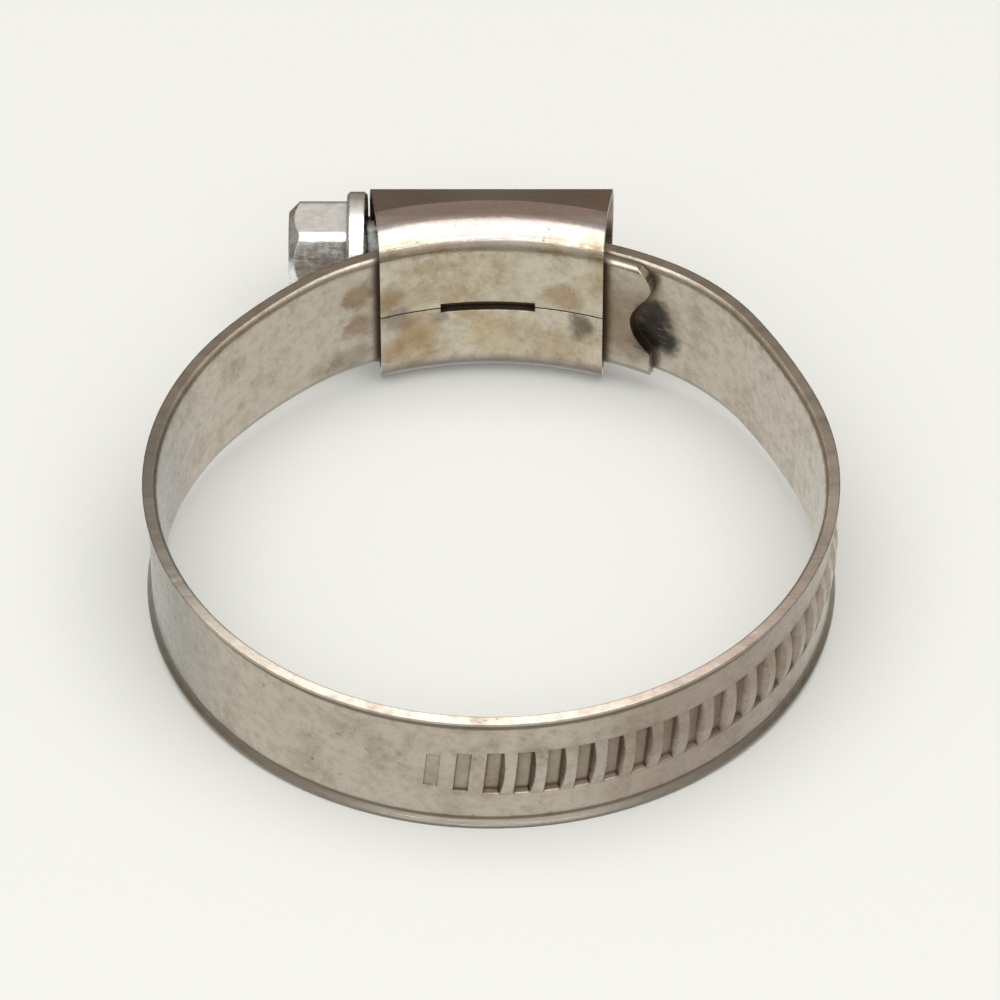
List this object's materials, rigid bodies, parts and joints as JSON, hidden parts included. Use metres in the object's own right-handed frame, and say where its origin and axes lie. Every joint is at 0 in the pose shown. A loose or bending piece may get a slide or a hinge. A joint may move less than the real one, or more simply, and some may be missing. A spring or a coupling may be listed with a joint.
{
  "type": "worm drive hose clamp",
  "caption": "Round hose clamp: a steel band with pressed threads, drawn tight through a folded housing by a slotted hex worm screw.",
  "frame": {"origin": "on the ring's axis at half the band's width", "axes": "+Z along the ring's axis, +Y towards the housing, the screw's head towards -X"},
  "size_m": [0.0576, 0.0688, 0.0164],
  "materials": {
    "band_steel": "used stainless strip, lightly stained, bright at its rolled edges",
    "housing_steel": "used stainless sheet, brown stains, polished where it bends",
    "screw_zinc": "bright zinc plate, scuffed flats"
  },
  "bodies": {
    "clamp": {"band": "band_steel", "housing": "housing_steel"},
    "screw": {"worm_screw": "screw_zinc"}
  },
  "joints": [
    {"name": "worm_spin", "type": "hinge", "parent": "clamp", "child": "screw", "pos_m": [0, 0.03458, 0], "axis": [1, 0, 0], "continuous": true, "deforming": ["band"]}
  ]
}
